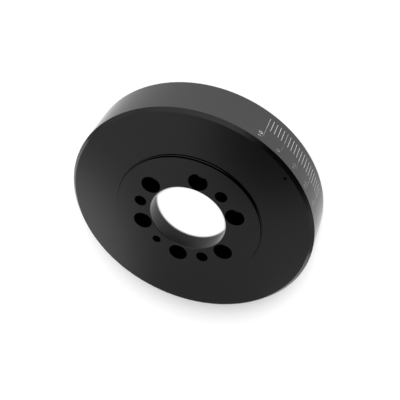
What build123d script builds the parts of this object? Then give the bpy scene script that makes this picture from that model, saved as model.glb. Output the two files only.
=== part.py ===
"""Viscous crankshaft damper (harmonic balancer), in millimetres.

A turned steel housing holds a free inertia ring in an annular chamber that is
filled with thick silicone fluid and closed by a welded rear cover.  The ring
rides on a split nylon bushing and on nylon thrust pads, so it never touches
the steel walls.

Frame: Z is the crank axis and points out of the front face.  The rear face lies
on Z = 0.  The zero mark of the timing scale is at +Y, and the dowel hole at -Y.
"""

import os
from math import isclose

from build123d import *

# ---- driving dimensions: millimetres and degrees ----

# Housing, outside
outer_diameter = 184.15
rim_width = 35.0  # rear face to front face
front_chamfer = 2.5
rear_edge_break = 0.5
boss_height = 2.0
boss_land = 10.85  # bolt holes to the edge of the boss
boss_edge_break = 0.2
boss_root_chamfer = 0.25

# Hub
bore_diameter = 57.9
hub_thickness = 13.4  # top of the boss to the rear seat
bolt_hole_diameter = 13.8
bolt_count = 6
bore_land = 1.15  # bore to bolt holes
puller_hole_diameter = 8.6
puller_count = 3
puller_start_angle = 90.0
dowel_hole_diameter = 6.0
dowel_angle = 270.0
hole_chamfer = 0.3
seat_land = 10.1  # bolt holes to the wall of the rear recess
recess_root_chamfer = 1.5

# Chamber walls
hub_wall = 4.0
rim_wall = 4.075
front_wall = 5.0

# Rear cover, welded to the rim and to the hub wall
cover_thickness = 4.5
cover_ledge = 2.0
cover_fit = 0.03
weld_bevel = 0.6

# Inertia ring and the fluid film around it
rim_film = 0.30
side_film = 0.30
hub_film = 0.40
ring_chamfer = 1.2

# Split bushing between the inertia ring and the hub wall
bushing_thickness = 1.9
bushing_width = 12.0
bushing_clearance = 0.05
bushing_side_play = 0.1
bushing_split = 1.2
scarf_angle = 25.0

# Thrust pads
pad_count = 3
pad_diameter = 8.0
pad_thickness = 2.2
pad_fit = 0.02
pad_clearance = 0.10

# Fill port and plug
port_angle = 80.5
port_inset = 1.75  # port axis to the chamber's outer wall
port_diameter = 1.6
port_land = 1.0
plug_diameter = 2.4
plug_recess = 1.2
plug_fit = 0.01

# ---- sizes that follow ----

outer_radius = outer_diameter / 2
bore_radius = bore_diameter / 2
bolt_hole_radius = bolt_hole_diameter / 2
bolt_circle_radius = bore_radius + bore_land + bolt_hole_radius
bolt_reach = bolt_circle_radius + bolt_hole_radius
boss_radius = bolt_reach + boss_land
recess_radius = bolt_reach + seat_land

hub_top = rim_width + boss_height
seat_height = hub_top - hub_thickness

chamber_inner_radius = recess_radius + hub_wall
chamber_outer_radius = outer_radius - rim_wall
chamber_top = rim_width - front_wall
ledge_radius = chamber_outer_radius + cover_ledge
cover_radius = ledge_radius - cover_fit

ring_inner_radius = chamber_inner_radius + hub_film
ring_outer_radius = chamber_outer_radius - rim_film
ring_bottom = cover_thickness + side_film
ring_top = chamber_top - side_film
ring_middle = (ring_bottom + ring_top) / 2

bushing_inner_radius = chamber_inner_radius + bushing_clearance
bushing_outer_radius = bushing_inner_radius + bushing_thickness
groove_width = bushing_width + 2 * bushing_side_play

pad_circle_radius = (ring_inner_radius + ring_outer_radius) / 2
pad_bore_depth = pad_thickness - side_film + pad_clearance

# each row of pads: the ring's face, the way it faces, and the first pad's angle
pad_rows = {
    "front": (ring_top, 1, 90),
    "rear": (ring_bottom, -1, 90 + 180 / pad_count),
}

port_circle_radius = chamber_outer_radius - port_inset
plug_bore_depth = front_wall - port_land
plug_length = plug_bore_depth - plug_recess

SAME_SIZE = 1e-4  # how far apart two equal sizes may come out


def circles(part, radius, height):
    """The circular edges of a part with this radius at this height."""
    return (
        part.edges()
        .filter_by(GeomType.CIRCLE)
        .filter_by(lambda edge: isclose(edge.radius, radius, abs_tol=SAME_SIZE))
        .filter_by(lambda edge: isclose(edge.arc_center.Z, height, abs_tol=SAME_SIZE))
    )


def finish(part, name):
    """Labels a finished piece and writes its STEP file."""
    part.label = name
    export_step(part, f"parts/{name}.step")


os.makedirs("parts", exist_ok=True)

# ---- housing: hub web, front wall, rim tube and hub wall, turned in one piece ----

with BuildPart() as housing:
    with BuildSketch(Plane.XZ):
        with BuildLine():
            Polyline(
                (bore_radius, seat_height),
                (bore_radius, hub_top),
                (boss_radius, hub_top),
                (boss_radius, rim_width),
                (outer_radius, rim_width),
                (outer_radius, 0),
                (ledge_radius, 0),
                (ledge_radius, cover_thickness),
                (chamber_outer_radius, cover_thickness),
                (chamber_outer_radius, chamber_top),
                (chamber_inner_radius, chamber_top),
                (chamber_inner_radius, cover_thickness),
                (recess_radius, cover_thickness),
                (recess_radius, seat_height),
                close=True,
            )
        make_face()
    revolve(axis=Axis.Z)

    with Locations((0, 0, hub_top)):
        with PolarLocations(bolt_circle_radius, bolt_count):
            Hole(bolt_hole_radius, hub_thickness)
        with PolarLocations(bolt_circle_radius, puller_count, puller_start_angle):
            Hole(puller_hole_diameter / 2, hub_thickness)
        with PolarLocations(bolt_circle_radius, 1, dowel_angle):
            Hole(dowel_hole_diameter / 2, hub_thickness)
    with Locations((0, 0, rim_width)):
        with PolarLocations(port_circle_radius, 1, port_angle):
            CounterBoreHole(port_diameter / 2, plug_diameter / 2, plug_bore_depth, front_wall)

    chamfer(circles(housing, outer_radius, rim_width), front_chamfer)
    chamfer(circles(housing, outer_radius, 0), rear_edge_break)
    chamfer(circles(housing, boss_radius, hub_top), boss_edge_break)
    chamfer(circles(housing, boss_radius, rim_width), boss_root_chamfer)
    chamfer(circles(housing, recess_radius, seat_height), recess_root_chamfer)
    chamfer(circles(housing, bore_radius, seat_height), hole_chamfer)
    hub_holes = (bore_radius, bolt_hole_radius, puller_hole_diameter / 2, dowel_hole_diameter / 2)
    for hole_radius in hub_holes:
        chamfer(circles(housing, hole_radius, hub_top), hole_chamfer)
finish(housing.part, "housing")

# ---- rear cover: a flat ring let in flush, seated on the rim's ledge and the hub wall's end ----

with BuildPart() as rear_cover:
    with BuildSketch():
        Circle(cover_radius)
        Circle(recess_radius, mode=Mode.SUBTRACT)
    extrude(amount=cover_thickness)
    chamfer(circles(rear_cover, cover_radius, 0), weld_bevel)
    chamfer(circles(rear_cover, recess_radius, cover_thickness), weld_bevel)
finish(rear_cover.part, "rear_cover")

# ---- inertia ring: heavy steel ring, grooved for its bushing, drilled for its pads ----

with BuildPart() as inertia_ring:
    with BuildSketch(Plane.XY.offset(ring_bottom)):
        Circle(ring_outer_radius)
        Circle(ring_inner_radius, mode=Mode.SUBTRACT)
    extrude(amount=ring_top - ring_bottom)
    chamfer(circles(inertia_ring, ring_outer_radius, ring_bottom), ring_chamfer)
    chamfer(circles(inertia_ring, ring_outer_radius, ring_top), ring_chamfer)
    with BuildSketch(Plane.XY.offset(ring_middle - groove_width / 2)):
        Circle(bushing_outer_radius)
        Circle(ring_inner_radius, mode=Mode.SUBTRACT)
    extrude(amount=groove_width, mode=Mode.SUBTRACT)
    for ring_face, outward, start_angle in pad_rows.values():
        with BuildSketch(Plane.XY.offset(ring_face)):
            with PolarLocations(pad_circle_radius, pad_count, start_angle):
                Circle(pad_diameter / 2 + pad_fit)
        extrude(amount=-outward * pad_bore_depth, mode=Mode.SUBTRACT)
finish(inertia_ring.part, "inertia_ring")

# ---- radial bushing: nylon strip sprung into the ring's groove, scarf-cut to open ----

with BuildPart() as radial_bushing:
    with BuildSketch(Plane.XY.offset(ring_middle - bushing_width / 2)):
        Circle(bushing_outer_radius)
        Circle(bushing_inner_radius, mode=Mode.SUBTRACT)
    extrude(amount=bushing_width)
    with Locations((bushing_outer_radius, 0, ring_middle)):
        Box(
            4 * bushing_thickness,
            bushing_split,
            2 * bushing_width,
            rotation=(scarf_angle, 0, 0),
            mode=Mode.SUBTRACT,
        )
finish(radial_bushing.part, "radial_bushing")

# ---- thrust pads: nylon buttons, seated in the ring and standing a little proud ----

for side, (ring_face, outward, start_angle) in pad_rows.items():
    for number in range(pad_count):
        pad_angle = start_angle + number * 360 / pad_count
        with BuildPart() as pad:
            with BuildSketch(Plane.XY.offset(ring_face - outward * pad_bore_depth)):
                with PolarLocations(pad_circle_radius, 1, pad_angle):
                    Circle(pad_diameter / 2)
            extrude(amount=outward * pad_thickness)
        finish(pad.part, f"{side}_pad_{number + 1}")

# ---- fill plug: pressed in below the face once the chamber is full ----

with BuildPart() as fill_plug:
    with BuildSketch(Plane.XY.offset(rim_width - plug_bore_depth)):
        with PolarLocations(port_circle_radius, 1, port_angle):
            Circle(plug_diameter / 2 - plug_fit)
    extrude(amount=plug_length)
finish(fill_plug.part, "fill_plug")
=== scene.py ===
"""Viscous harmonic balancer for a car engine's crankshaft: finishes, timing scale, welds and studio."""

from math import cos, radians, sin, tan, tau

import bpy
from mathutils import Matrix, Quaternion, Vector


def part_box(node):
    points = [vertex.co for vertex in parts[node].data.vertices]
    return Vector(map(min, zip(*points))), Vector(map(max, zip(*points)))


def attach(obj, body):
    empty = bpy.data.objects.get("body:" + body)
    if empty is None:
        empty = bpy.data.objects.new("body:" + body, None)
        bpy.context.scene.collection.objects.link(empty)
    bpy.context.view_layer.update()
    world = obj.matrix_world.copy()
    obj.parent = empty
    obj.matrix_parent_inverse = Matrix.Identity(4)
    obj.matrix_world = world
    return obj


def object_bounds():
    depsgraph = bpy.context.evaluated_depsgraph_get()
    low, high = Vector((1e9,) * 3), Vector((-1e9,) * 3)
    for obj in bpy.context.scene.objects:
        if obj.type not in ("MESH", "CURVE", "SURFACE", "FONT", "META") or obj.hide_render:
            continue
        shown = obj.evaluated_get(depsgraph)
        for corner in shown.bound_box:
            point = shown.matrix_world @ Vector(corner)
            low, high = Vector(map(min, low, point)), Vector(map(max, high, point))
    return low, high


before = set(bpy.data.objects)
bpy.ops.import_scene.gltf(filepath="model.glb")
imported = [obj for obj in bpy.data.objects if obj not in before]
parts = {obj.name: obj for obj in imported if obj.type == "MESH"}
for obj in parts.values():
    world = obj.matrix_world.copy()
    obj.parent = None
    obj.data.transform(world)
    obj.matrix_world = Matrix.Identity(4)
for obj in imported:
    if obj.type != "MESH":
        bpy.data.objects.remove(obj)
cad_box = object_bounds()
mm = 0.001


# --- Housing -------------------------------------------------------------------------------
# One steel forging turned all over: front wall, outer rim, hub with its bores, and the inner
# wall of the fluid chamber. It is zinc plated and then passivated black, which leaves an even,
# satin black skin that mirrors what is round it softly, and less so at a slant than bare metal.

turning_feed = 0.25 * mm          # a finishing tool's real feed, ridge to ridge
shown_feed = 2 * turning_feed     # drawn twice as coarse, or it would not show
ridge_height, ridge_strength = 0.004 * mm, 0.05
plate_grain = 1.6 * mm            # cloudiness of the passivation
plate_dark, plate_light = "#525252", "#585858"
rim_plate = "#4f4f4f"             # the rim is drawn a shade darker than the faces
plate_sheen = "#e7e7e7"           # how much of the light at a slant the skin mirrors
satin_low, satin_high = 0.11, 0.15
honed_roughness = 0.2             # the bore is honed to size, so its wall is duller
# Painted shade on the holes' walls and round the boss: a deep black, no sheen at a slant on the holes'
# walls, which are fully rough.
painted_shade_colour, painted_shade_sheen, drilled_wall_roughness = "#0a0a0a", "#000000", 1.0

wall_flatness = 0.9               # the part of the normal along the axis; a wall has less
bore_radius = 28.95 * mm
bore_reach = bore_radius + 0.25 * mm      # just past its wall
bolt_circle_radius = 37.0 * mm
drilled_reach = 7.6 * mm          # from the bolt circle to past the walls of the largest holes
boss_radius = 54.75 * mm
step_reach = 0.3 * mm             # to both sides of the boss's wall
step_foot = 35.3 * mm             # just over the chamfer at the foot of that wall
corner_start, corner_end = 55.0 * mm, 55.6 * mm      # the ring of face round the foot
front_reach = 34.0 * mm           # a height that only the front side is above
rim_reach = 91.9 * mm             # just under the rim's radius


def linear(hex_colour):
    """An sRGB hex colour as the linear red, green, blue and alpha that a shader takes."""
    channels = [int(hex_colour[i:i + 2], 16) / 255 for i in (1, 3, 5)]
    return [c / 12.92 if c <= 0.04045 else ((c + 0.055) / 1.055) ** 2.4 for c in channels] + [1.0]


def add(tree, kind, settings=None, links=None):
    """Adds a node; settings are attributes or socket values, and links go from an output."""
    made = tree.nodes.new(kind)
    for name, value in (settings or {}).items():
        if isinstance(name, str) and hasattr(made, name):
            setattr(made, name, value)
        else:
            made.inputs[name].default_value = value
    for name, output in (links or {}).items():
        tree.links.new(output, made.inputs[name])
    return made


def new_finish(name):
    """An empty node material, and its node tree."""
    finish = bpy.data.materials.new(name)
    finish.use_nodes = True
    finish.node_tree.nodes.clear()
    return finish, finish.node_tree


def dress(part, finish):
    """Gives a part one finish all over."""
    part.data.materials.clear()
    part.data.materials.append(finish)


black_plate, tree = new_finish("black_passivated_zinc_plate")
place = add(tree, "ShaderNodeTexCoord")
split = add(tree, "ShaderNodeSeparateXYZ", links={0: place.outputs["Object"]})
flat = add(tree, "ShaderNodeCombineXYZ", links={0: split.outputs["X"], 1: split.outputs["Y"]})
radius = add(tree, "ShaderNodeVectorMath", {"operation": "LENGTH"}, {0: flat.outputs[0]})

# The turning tool's ridges, which are rings on the faces and on the walls alike.
along = add(tree, "ShaderNodeMath", {"operation": "SUBTRACT"},
            {0: radius.outputs["Value"], 1: split.outputs["Z"]})
turns = add(tree, "ShaderNodeMath", {"operation": "MULTIPLY", 1: tau / shown_feed},
            {0: along.outputs[0]})
ridges = add(tree, "ShaderNodeMath", {"operation": "SINE"}, {0: turns.outputs[0]})
relief = add(tree, "ShaderNodeBump", {"Strength": ridge_strength, "Distance": ridge_height},
             {"Height": ridges.outputs[0]})

# The passivation is a little cloudy, in its colour and in its gloss. A Mix node's inputs 6
# and 7 are its two colours, and 2 and 3 its two numbers.
cloud = add(tree, "ShaderNodeTexNoise", {"Scale": 1 / plate_grain, "Detail": 4.0},
            {"Vector": place.outputs["Object"]})
plated = add(tree, "ShaderNodeMix",
             {"data_type": "RGBA", 6: linear(plate_dark), 7: linear(plate_light)},
             {0: cloud.outputs["Fac"]})
satin = add(tree, "ShaderNodeMapRange", {"To Min": satin_low, "To Max": satin_high},
            {"Value": cloud.outputs["Fac"]})
on_rim = add(tree, "ShaderNodeMath", {"operation": "GREATER_THAN", 1: rim_reach},
             {0: radius.outputs["Value"]})
rimmed = add(tree, "ShaderNodeMix", {"data_type": "RGBA", 7: linear(rim_plate)},
             {0: on_rim.outputs[0], 6: plated.outputs[2]})

# The walls, which stand along the axis; the bore's is the innermost.
skin = add(tree, "ShaderNodeNewGeometry")
slope = add(tree, "ShaderNodeSeparateXYZ", links={0: skin.outputs["Normal"]})
flatness = add(tree, "ShaderNodeMath", {"operation": "ABSOLUTE"}, {0: slope.outputs["Z"]})
upright = add(tree, "ShaderNodeMath", {"operation": "LESS_THAN", 1: wall_flatness},
              {0: flatness.outputs[0]})
within_bore = add(tree, "ShaderNodeMath", {"operation": "LESS_THAN", 1: bore_reach},
                  {0: radius.outputs["Value"]})
bored = add(tree, "ShaderNodeMath", {"operation": "MULTIPLY"},
            {0: upright.outputs[0], 1: within_bore.outputs[0]})
honed = add(tree, "ShaderNodeMix", {"data_type": "FLOAT", 3: honed_roughness},
            {0: bored.outputs[0], 2: satin.outputs[0]})

# Painted shade, a soft deep black: on the walls of the drilled holes, which are also rough and
# mirror nothing at a slant, on the boss's low wall, and in the corner round its foot, where it fades out.
among_holes = add(tree, "ShaderNodeMath",
                  {"operation": "COMPARE", 1: bolt_circle_radius, 2: drilled_reach},
                  {0: radius.outputs["Value"]})
drilled = add(tree, "ShaderNodeMath", {"operation": "MULTIPLY"},
              {0: upright.outputs[0], 1: among_holes.outputs[0]})
by_boss = add(tree, "ShaderNodeMath", {"operation": "COMPARE", 1: boss_radius, 2: step_reach},
              {0: radius.outputs["Value"]})
over_foot = add(tree, "ShaderNodeMath", {"operation": "GREATER_THAN", 1: step_foot},
                {0: split.outputs["Z"]})
on_step = add(tree, "ShaderNodeMath", {"operation": "MULTIPLY"},
              {0: by_boss.outputs[0], 1: over_foot.outputs[0]})
stepped = add(tree, "ShaderNodeMath", {"operation": "MULTIPLY"},
              {0: on_step.outputs[0], 1: upright.outputs[0]})
to_corner = add(tree, "ShaderNodeMapRange", {"From Min": corner_end, "From Max": corner_start},
                {"Value": radius.outputs["Value"]})
past_foot = add(tree, "ShaderNodeMath", {"operation": "GREATER_THAN", 1: corner_start},
                {0: radius.outputs["Value"]})
on_front = add(tree, "ShaderNodeMath", {"operation": "GREATER_THAN", 1: front_reach},
               {0: split.outputs["Z"]})
round_foot = add(tree, "ShaderNodeMath", {"operation": "MULTIPLY"},
                 {0: past_foot.outputs[0], 1: on_front.outputs[0]})
corner = add(tree, "ShaderNodeMath", {"operation": "MULTIPLY"},
             {0: to_corner.outputs[0], 1: round_foot.outputs[0]})
at_boss = add(tree, "ShaderNodeMath", {"operation": "MAXIMUM"},
              {0: stepped.outputs[0], 1: corner.outputs[0]})
painted_shade_mask = add(tree, "ShaderNodeMath", {"operation": "MAXIMUM"},
             {0: drilled.outputs[0], 1: at_boss.outputs[0]})
# The painted shade goes into the base colour here.
tint = add(tree, "ShaderNodeMix", {"data_type": "RGBA", 7: linear(painted_shade_colour)},
           {0: painted_shade_mask.outputs[0], 6: rimmed.outputs[2]})
dull = add(tree, "ShaderNodeMix", {"data_type": "FLOAT", 3: drilled_wall_roughness},
           {0: drilled.outputs[0], 2: honed.outputs[0]})
sheen = add(tree, "ShaderNodeMix",
            {"data_type": "RGBA", 6: linear(plate_sheen), 7: linear(painted_shade_sheen)},
            {0: drilled.outputs[0]})

shader = add(tree, "ShaderNodeBsdfPrincipled", {"Metallic": 1.0},
             {"Base Color": tint.outputs[2], "Roughness": dull.outputs[0],
              "Specular Tint": sheen.outputs[2], "Normal": relief.outputs[0]})
add(tree, "ShaderNodeOutputMaterial", links={"Surface": shader.outputs[0]})
dress(parts["housing"], black_plate)


# --- Puller threads ------------------------------------------------------------------------
# Three of the hub's holes are tapped for the M10 screws that pull the damper off the
# crankshaft. The thread is cut before plating, and carries the same painted shade as the wall that it is
# in.

puller_ways = (90, 210, 330)      # degrees from +X
thread_pitch = 1.5 * mm
thread_crest, thread_root = 4.05 * mm, 4.35 * mm
thread_flank = 0.55 * mm          # along the axis, from crest to root
thread_low, thread_high = 24.3 * mm, 36.0 * mm
thread_profile = ((thread_root, -thread_flank), (thread_crest, 0), (thread_root, thread_flank))
turn_steps = 24


def new_piece(name, points, faces, finish):
    """A mesh object in the scene, in one finish."""
    mesh = bpy.data.meshes.new(name)
    mesh.from_pydata(points, [], faces)
    piece = bpy.data.objects.new(name, mesh)
    bpy.context.scene.collection.objects.link(piece)
    dress(piece, finish)
    return piece


step_rise = thread_pitch / turn_steps
stations = round((thread_high - thread_low) / step_rise)
corners = len(thread_profile)
for count, hole_way in enumerate(puller_ways, start=1):
    hole_x = bolt_circle_radius * cos(radians(hole_way))
    hole_y = bolt_circle_radius * sin(radians(hole_way))
    points, faces = [], []
    for i in range(stations):
        turn = tau * i / turn_steps
        for r, lift in thread_profile:
            points.append((hole_x + r * cos(turn), hole_y + r * sin(turn),
                           thread_low + i * step_rise + lift))
    for i in range(stations - 1):
        here, ahead = corners * i, corners * (i + 1)
        for k in range(corners):
            beside = (k + 1) % corners
            faces.append((here + k, here + beside, ahead + beside, ahead + k))
    last = corners * (stations - 1)
    faces += [(2, 1, 0), (last, last + 1, last + 2)]
    thread = new_piece(f"puller_thread_{count}", points, faces, black_plate)
    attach(thread, "shell")


# --- Timing scale --------------------------------------------------------------------------
# Laser-marked on the rim after plating: the beam lifts the black skin and leaves matt pale
# lines. One line each 2 degrees, a long one with its number each 10 degrees, zero on +Y. All
# long lines but the first go on towards the front much finer, and so do their numbers.

rim_radius = cad_box[1].x
first_mark, zero_mark, last_mark = 100, 90, 60       # degrees from +X
mark_step, number_step = 2, 10                       # degrees
marks_rear = 6.3 * mm             # heights above the rear face: of the ends of the lines
short_front = 17.5 * mm
long_front = 26.4 * mm
numerals_front = 29.3 * mm        # and of the top of the first numeral
short_width, fine_width = 0.36 * mm, 0.2 * mm        # fine for the first line and the zero line
clear_line, clear_numeral = 0.14 * mm, 0.34 * mm     # the first line's front part and its number
faint_line, faint_numeral = 0.05 * mm, 0.10 * mm     # those of the later lines
numeral_height = 2.5 * mm
numeral_width = 2.1 * mm
numeral_pitch = 3.3 * mm
numeral_base = 1.2 * mm           # from the long line to the foot of its numerals
mark_relief = 0.03 * mm
mark_depth = 0.15 * mm
mark_corners = ((mark_relief, 1), (mark_relief, -1), (-mark_depth, -1), (-mark_depth, 1))
mark_speckle = 0.3 * mm
mark_dark, mark_light = "#999996", "#bfbfbb"

laser_mark, tree = new_finish("laser_mark_matt")
place = add(tree, "ShaderNodeTexCoord")
speckle = add(tree, "ShaderNodeTexNoise", {"Scale": 1 / mark_speckle, "Detail": 3.0},
              {"Vector": place.outputs["Object"]})
tint = add(tree, "ShaderNodeMix",
           {"data_type": "RGBA", 6: linear(mark_dark), 7: linear(mark_light)},
           {0: speckle.outputs["Fac"]})
shader = add(tree, "ShaderNodeBsdfPrincipled", {"Metallic": 0.0, "Roughness": 0.7},
             {"Base Color": tint.outputs[2]})
add(tree, "ShaderNodeOutputMaterial", links={"Surface": shader.outputs[0]})


def arc(centre, size, start, end, steps=14):
    """Points along part of an ellipse, from one angle in degrees to another."""
    angles = [radians(start + (end - start) * i / steps) for i in range(steps + 1)]
    return [(centre[0] + size[0] * cos(a), centre[1] + size[1] * sin(a)) for a in angles]


# Single-stroke numerals in a cell one unit wide and one unit high.
numerals = {
    "0": [arc((0.5, 0.5), (0.46, 0.5), 90, 450, 24)],
    "1": [[(0.28, 0.78), (0.55, 1.0), (0.55, 0.0)]],
    "2": [arc((0.5, 0.72), (0.42, 0.28), 160, -35) + [(0.06, 0.0), (0.94, 0.0)]],
    "3": [arc((0.48, 0.75), (0.4, 0.25), 150, -90) + arc((0.48, 0.26), (0.44, 0.26), 90, -150)],
}


def rim_point(across, height, rise):
    """A point on the rim: across is the arc length from +X, and height is above the rear face."""
    angle = across / rim_radius
    return ((rim_radius + rise) * cos(angle), (rim_radius + rise) * sin(angle), height)


def mark_strokes(name, strokes):
    """Joins strokes, each a width and places on the rim, into one piece of raised, closed ribbons."""
    corners = len(mark_corners)
    points, faces = [], []
    for width, stroke in strokes:
        first = len(points)
        for i, spot in enumerate(stroke):
            before, after = stroke[max(i - 1, 0)], stroke[min(i + 1, len(stroke) - 1)]
            run = Vector((after[0] - before[0], after[1] - before[1])).normalized()
            side = Vector((-run.y, run.x)) * width / 2
            for rise, way in mark_corners:
                points.append(rim_point(spot[0] + way * side.x, spot[1] + way * side.y, rise))
        for i in range(len(stroke) - 1):
            near, far = first + corners * i, first + corners * (i + 1)
            for k in range(corners):
                beside = (k + 1) % corners
                faces.append((near + k, near + beside, far + beside, far + k))
        last = first + corners * (len(stroke) - 1)
        faces += [(first + 3, first + 2, first + 1, first), (last, last + 1, last + 2, last + 3)]
    piece = new_piece(name, points, faces, laser_mark)
    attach(piece, "shell")


lines, numbers = [], []
for degrees in range(first_mark, last_mark - 1, -mark_step):
    across = radians(degrees) * rim_radius
    is_first = degrees == first_mark
    width = fine_width if degrees in (first_mark, zero_mark) else short_width
    lines.append((width, [(across, marks_rear), (across, short_front)]))
    if degrees % number_step:
        continue
    front_width = clear_line if is_first else faint_line
    lines.append((front_width, [(across, short_front), (across, long_front)]))
    numeral_stroke = clear_numeral if is_first else faint_numeral
    for place_in_number, digit in enumerate(str(abs(zero_mark - degrees))):
        for stroke in numerals[digit]:
            numbers.append((numeral_stroke, [
                (across + numeral_base + y * numeral_height,
                 numerals_front - place_in_number * numeral_pitch - x * numeral_width)
                for x, y in stroke
            ]))
mark_strokes("timing_lines", lines)
mark_strokes("timing_numbers", numbers)


# --- Rear cover ----------------------------------------------------------------------------
# A turned steel ring that closes the fluid chamber from behind. It is welded to the rim round
# its outer edge and to the hub wall round its inner edge, then plated with the housing.

cover_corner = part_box("rear_cover")[1]
recess_radius = 54 * mm           # the cover's inner edge, and the rear recess's wall
weld_radius = 0.42 * mm
weld_ripple = 1.3 * mm            # a pulsed beam's step, one ripple each
ripple_stations = 3
ripple_fall = 0.14                # the share of its radius that a ripple loses to its end
weld_sides = 8
outer_inset = 0.1 * mm            # from the cover's edges to the beads in its bevels
inner_inset, inner_drop = 0.35 * mm, 0.3 * mm


def weld_bead(name, ring_radius, height):
    """A ring of weld with one low ripple for each step of the beam."""
    stations = round(tau * ring_radius / weld_ripple) * ripple_stations
    points, faces = [], []
    for i in range(stations):
        swell = 1 - ripple_fall * (i % ripple_stations) / (ripple_stations - 1)
        turn = tau * i / stations
        for k in range(weld_sides):
            r = ring_radius + weld_radius * swell * cos(tau * k / weld_sides)
            z = height + weld_radius * swell * sin(tau * k / weld_sides)
            points.append((r * cos(turn), r * sin(turn), z))
            here, ahead = i * weld_sides, (i + 1) % stations * weld_sides
            beside = (k + 1) % weld_sides
            faces.append((here + k, ahead + k, ahead + beside, here + beside))
    bead = new_piece(name, points, faces, black_plate)
    bead.data.shade_smooth()
    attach(bead, "shell")


dress(parts["rear_cover"], black_plate)
weld_bead("outer_weld", cover_corner.x - outer_inset, weld_radius)
weld_bead("inner_weld", recess_radius + inner_inset, cover_corner.z - inner_drop)


# --- Fill plug -----------------------------------------------------------------------------
# A turned steel pin pressed into the filling port once the silicone fluid is in, below the
# surface of the front face. It has no plating, only the dull dark oxide of its heat treatment.

oxide_grain = 0.2 * mm
oxide_dark, oxide_light = "#222223", "#2c2c2c"

oxide_steel, tree = new_finish("oxide_dark_steel_pin")
place = add(tree, "ShaderNodeTexCoord")
grain = add(tree, "ShaderNodeTexNoise", {"Scale": 1 / oxide_grain, "Detail": 3.0},
            {"Vector": place.outputs["Object"]})
tint = add(tree, "ShaderNodeMix",
           {"data_type": "RGBA", 6: linear(oxide_dark), 7: linear(oxide_light)},
           {0: grain.outputs["Fac"]})
shader = add(tree, "ShaderNodeBsdfPrincipled", {"Metallic": 1.0, "Roughness": 0.5},
             {"Base Color": tint.outputs[2]})
add(tree, "ShaderNodeOutputMaterial", links={"Surface": shader.outputs[0]})
dress(parts["fill_plug"], oxide_steel)


# --- Inertia ring --------------------------------------------------------------------------
# The heavy loose ring that the fluid drags. Grey iron, turned and manganese phosphated, which
# leaves a dull, dark grey crystalline skin that holds the fluid.

crystal_size, crystal_height = 0.4 * mm, 0.02 * mm
phosphate_dark, phosphate_light = "#2d2d2f", "#434346"

phosphated_iron, tree = new_finish("manganese_phosphated_iron")
place = add(tree, "ShaderNodeTexCoord")
crystals = add(tree, "ShaderNodeTexVoronoi", {"Scale": 1 / crystal_size},
               {"Vector": place.outputs["Object"]})
tint = add(tree, "ShaderNodeMix",
           {"data_type": "RGBA", 6: linear(phosphate_dark), 7: linear(phosphate_light)},
           {0: crystals.outputs["Distance"]})
relief = add(tree, "ShaderNodeBump", {"Strength": 0.3, "Distance": crystal_height},
             {"Height": crystals.outputs["Distance"]})
shader = add(tree, "ShaderNodeBsdfPrincipled", {"Metallic": 0.6, "Roughness": 0.7},
             {"Base Color": tint.outputs[2], "Normal": relief.outputs[0]})
add(tree, "ShaderNodeOutputMaterial", links={"Surface": shader.outputs[0]})
dress(parts["inertia_ring"], phosphated_iron)


# --- Bushing and thrust pads ---------------------------------------------------------------
# A split band in a groove of the ring's bore, and round pads pressed into its sides, keep the
# ring off the housing. Cast nylon, machined: cream, waxy and slightly see-through at edges.

milk_grain = 3 * mm
milk_dark, milk_light = "#e3dfd0", "#ece9dd"
light_depth = 1 * mm              # how far light goes into the nylon

nylon, tree = new_finish("machined_cast_nylon")
place = add(tree, "ShaderNodeTexCoord")
milky = add(tree, "ShaderNodeTexNoise", {"Scale": 1 / milk_grain, "Detail": 3.0},
            {"Vector": place.outputs["Object"]})
tint = add(tree, "ShaderNodeMix",
           {"data_type": "RGBA", 6: linear(milk_dark), 7: linear(milk_light)},
           {0: milky.outputs["Fac"]})
shader = add(tree, "ShaderNodeBsdfPrincipled",
             {"Roughness": 0.42, "IOR": 1.53, "Subsurface Weight": 0.15, "Subsurface Scale": light_depth},
             {"Base Color": tint.outputs[2]})
add(tree, "ShaderNodeOutputMaterial", links={"Surface": shader.outputs[0]})
dress(parts["radial_bushing"], nylon)
for side in ("front", "rear"):
    for count in (1, 2, 3):
        dress(parts[f"{side}_pad_{count}"], nylon)


# --- Floor ---------------------------------------------------------------------------------
# A sheet of white paper under the part, which can be seen through from below, so that the rear
# side shows there. A little light of its own takes it to plain white. Under the rear recess it is
# painted grey as shade, with a painted pool of light that shows through the bore, and a painted glow that
# its wall mirrors.

paper_size = 8.0                  # metres
paper_drop = 0.1 * mm             # under the part, so that the two don't share a plane
# The paper's glow outside the recess, and the glow of the painted pool of light through the bore.
paper_glow, bore_light_glow = 0.08, 1.0
# Painted shade: the paper under the rear recess is drawn grey.
open_paper, painted_shade_paper = "#ffffff", "#6a6a6a"
recess_blur = 1 * mm              # the width of the edge between the two
hub_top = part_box("housing")[1].z
hub_thickness = 13.4 * mm         # from there to the bore's rear edge
# A painted pool of light through the bore, and a painted glow round it that the metal mirrors:
bore_light_way, bore_light_slope = 292.5, 46.0       # degrees: the way the light falls, and its fall
bore_light_start, bore_light_end = 0.5 * mm, 3.0 * mm        # its soft edge, past the bore's radius
spread_start, spread_end = -20 * mm, 40 * mm         # along the way that the light falls
spread_dim, spread_bright = 0.26, 1.02               # square roots of what the metal mirrors there


def direction(azimuth, elevation):
    """The way to something at an azimuth from +X and an elevation, in degrees."""
    a, e = radians(azimuth), radians(elevation)
    return Vector((cos(a) * cos(e), sin(a) * cos(e), sin(e)))


paper, tree = new_finish("white_paper_floor")
rays = add(tree, "ShaderNodeLightPath")
mirrored = add(tree, "ShaderNodeMath", {"operation": "MAXIMUM"},
               {0: rays.outputs["Is Glossy Ray"], 1: rays.outputs["Is Transmission Ray"]})
seen = add(tree, "ShaderNodeMath", {"operation": "MAXIMUM"},
           {0: rays.outputs["Is Camera Ray"], 1: mirrored.outputs[0]})
place = add(tree, "ShaderNodeTexCoord")
flat = add(tree, "ShaderNodeVectorMath", {"operation": "MULTIPLY", 1: (1, 1, 0)},
           {0: place.outputs["Object"]})

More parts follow.
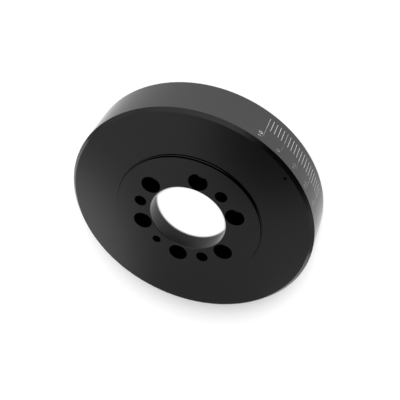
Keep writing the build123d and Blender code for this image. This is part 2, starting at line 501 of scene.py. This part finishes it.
# The open floor outside the recess glows a little.
from_axis = add(tree, "ShaderNodeVectorMath", {"operation": "LENGTH"}, {0: flat.outputs[0]})
open_floor = add(tree, "ShaderNodeMapRange",
                 {"From Min": recess_radius, "From Max": recess_radius + recess_blur,
                  "To Max": paper_glow},
                 {"Value": from_axis.outputs["Value"]})
open_glow = add(tree, "ShaderNodeMath", {"operation": "MULTIPLY"},
                {0: open_floor.outputs[0], 1: seen.outputs[0]})

# A painted pool of light, a glow that only the camera sees: it lies where a slanting light would reach
# past neither the bore's front edge nor its rear edge, the patch that two circles share, each the bore
# shifted by what the light falls from that edge.
from_edges = []
for edge_height in (hub_top, hub_top - hub_thickness):
    shift = direction(bore_light_way, 0) * edge_height / tan(radians(bore_light_slope))
    from_edges.append(add(tree, "ShaderNodeVectorMath", {"operation": "DISTANCE", 1: shift},
                          {0: flat.outputs[0]}))
from_patch = add(tree, "ShaderNodeMath", {"operation": "MAXIMUM"},
                 {0: from_edges[0].outputs["Value"], 1: from_edges[1].outputs["Value"]})
bore_light = add(tree, "ShaderNodeMapRange",
                 {"From Min": bore_radius + bore_light_end, "From Max": bore_radius + bore_light_start,
                  "To Max": bore_light_glow},
                 {"Value": from_patch.outputs[0]})
patch_glow = add(tree, "ShaderNodeMath", {"operation": "MULTIPLY"},
                 {0: bore_light.outputs[0], 1: rays.outputs["Is Camera Ray"]})

# Round the patch a painted glow, which only reflections see, dims against the way the light falls, and
# the bore's wall shows it as a painted reflection.
inside = add(tree, "ShaderNodeMath", {"operation": "LESS_THAN", 1: recess_radius},
             {0: from_axis.outputs["Value"]})
along_fall = add(tree, "ShaderNodeVectorMath",
                 {"operation": "DOT_PRODUCT", 1: direction(bore_light_way, 0)},
                 {0: flat.outputs[0]})
spread_root = add(tree, "ShaderNodeMapRange",
                  {"From Min": spread_start, "From Max": spread_end,
                   "To Min": spread_dim, "To Max": spread_bright},
                  {"Value": along_fall.outputs["Value"]})
spread = add(tree, "ShaderNodeMath", {"operation": "POWER", 1: 2.0}, {0: spread_root.outputs[0]})
spread_inside = add(tree, "ShaderNodeMath", {"operation": "MULTIPLY"},
                    {0: spread.outputs[0], 1: inside.outputs[0]})
spread_glow = add(tree, "ShaderNodeMath", {"operation": "MULTIPLY"},
                  {0: spread_inside.outputs[0], 1: mirrored.outputs[0]})

recess_glow = add(tree, "ShaderNodeMath", {"operation": "ADD"},
                  {0: patch_glow.outputs[0], 1: spread_glow.outputs[0]})
glow = add(tree, "ShaderNodeMath", {"operation": "ADD"},
           {0: open_glow.outputs[0], 1: recess_glow.outputs[0]})
light = add(tree, "ShaderNodeEmission", links={"Strength": glow.outputs[0]})
# Inside the recess the paper takes the grey of the painted shade.
colour = add(tree, "ShaderNodeMix",
             {"data_type": "RGBA", 6: linear(open_paper), 7: linear(painted_shade_paper)},
             {0: inside.outputs[0]})
matt = add(tree, "ShaderNodeBsdfDiffuse", links={"Color": colour.outputs[2]})
front = add(tree, "ShaderNodeAddShader", links={0: matt.outputs[0], 1: light.outputs[0]})
through = add(tree, "ShaderNodeBsdfTransparent")
facing = add(tree, "ShaderNodeNewGeometry")
sheet = add(tree, "ShaderNodeMixShader",
            links={0: facing.outputs["Backfacing"], 1: front.outputs[0], 2: through.outputs[0]})
add(tree, "ShaderNodeOutputMaterial", links={"Surface": sheet.outputs[0]})

half = paper_size / 2
floor = new_piece("floor", [(-half, -half, 0), (half, -half, 0), (half, half, 0), (-half, half, 0)],
                  [(0, 1, 2, 3)], paper)
floor.location.z = -paper_drop


# --- Light tent ----------------------------------------------------------------------------
# White cloth walls round and over the part, lit in soft bands from the floor to the top. One
# end wall is brighter, two small panels are brighter still with a dark tie near them, and one
# wide fold lies in the shade.

lowest_rise = -0.06
wall_light = (         # the vertical part of a direction, and the light from there
    (lowest_rise, 0.50), (0.0, 0.28), (0.12, 0.27), (0.3, 0.40), (0.5, 0.20),
    (0.64, 0.23), (0.78, 0.31), (0.88, 0.20), (1.0, 0.35),
)
tent_patches = (       # azimuth and elevation, degrees from the middle to its edges, and gain
    (279, 33, 5, 12, 5.4),        # panel
    (309, 39, 2, 4, 5.6),         # smaller panel
    (298, 53, 0, 7, 0.15),        # tie
    (135, 36, 20, 50, 1.9),       # end wall
    (58, 35, 12, 46, 0.11),       # fold
)

tent = bpy.data.worlds.new("light_tent")
tent.use_nodes = True
tree = tent.node_tree
tree.nodes.clear()
way = add(tree, "ShaderNodeTexCoord")
rise = add(tree, "ShaderNodeSeparateXYZ", links={0: way.outputs["Generated"]})
on_ramp = add(tree, "ShaderNodeMapRange", {"From Min": lowest_rise, "From Max": 1.0},
              {"Value": rise.outputs["Z"]})
walls = add(tree, "ShaderNodeValToRGB", links={0: on_ramp.outputs[0]})
stops = walls.color_ramp.elements
for _ in wall_light[2:]:          # a new ramp has two stops
    stops.new(0.5)
for stop, (stop_rise, level) in zip(stops, wall_light):
    stop.position = (stop_rise - lowest_rise) / (1 - lowest_rise)
    stop.color = (level, level, level, 1)
bright = walls
for azimuth, elevation, inner, outer, gain in tent_patches:
    near = add(tree, "ShaderNodeVectorMath",
               {"operation": "DOT_PRODUCT", 1: direction(azimuth, elevation)},
               {0: way.outputs["Generated"]})
    share = add(tree, "ShaderNodeMapRange",
                {"interpolation_type": "SMOOTHSTEP", "From Min": cos(radians(outer)),
                 "From Max": cos(radians(inner)), "To Min": 1.0, "To Max": gain},
                {"Value": near.outputs["Value"]})
    bright = add(tree, "ShaderNodeMath", {"operation": "MULTIPLY"},
                 {0: bright.outputs[0], 1: share.outputs[0]})
air = add(tree, "ShaderNodeBackground", {"Color": linear("#ffffff")}, {"Strength": bright.outputs[0]})
add(tree, "ShaderNodeOutputWorld", links={"Surface": air.outputs[0]})
bpy.context.scene.world = tent


# --- Lamps and camera ----------------------------------------------------------------------
# A large soft key lamp from beside the camera, low, which throws the part's shadow away from
# it, and a weak fill lamp over it. The metal mirrors the tent and not the lamps.

lamps = (              # name, azimuth, elevation and width in degrees, and strength
    ("key", 121, 31, 28, 3.7),
    ("fill", 112, 50, 10, 0.65),
)
for name, lamp_azimuth, lamp_elevation, width, strength in lamps:
    lamp = bpy.data.lights.new(name, "SUN")
    lamp.energy = strength
    lamp.angle = radians(width)
    sun = bpy.data.objects.new(name, lamp)
    sun.rotation_mode = "QUATERNION"
    sun.rotation_quaternion = (-direction(lamp_azimuth, lamp_elevation)).to_track_quat("-Z", "Y")
    sun.visible_glossy = False
    bpy.context.scene.collection.objects.link(sun)

aim = Vector((-6.14, 19.98, 35.0)) * mm
view_azimuth, view_elevation, view_roll = 112.53, 46.23, -153.3      # degrees
view_distance = 513.5 * mm
focal_length, sensor_width = 65.32, 36.0               # millimetres, as a lens is marked

back = direction(view_azimuth, view_elevation)
lens = bpy.data.cameras.new("camera")
lens.lens = focal_length
lens.sensor_width = sensor_width
camera = bpy.data.objects.new("camera", lens)
camera.location = aim + back * view_distance
camera.rotation_mode = "QUATERNION"
camera.rotation_quaternion = (-back).to_track_quat("-Z", "Y") @ Quaternion((0, 0, 1), radians(view_roll))
bpy.context.scene.collection.objects.link(camera)
bpy.context.scene.camera = camera
bpy.context.scene.view_settings.view_transform = "Standard"
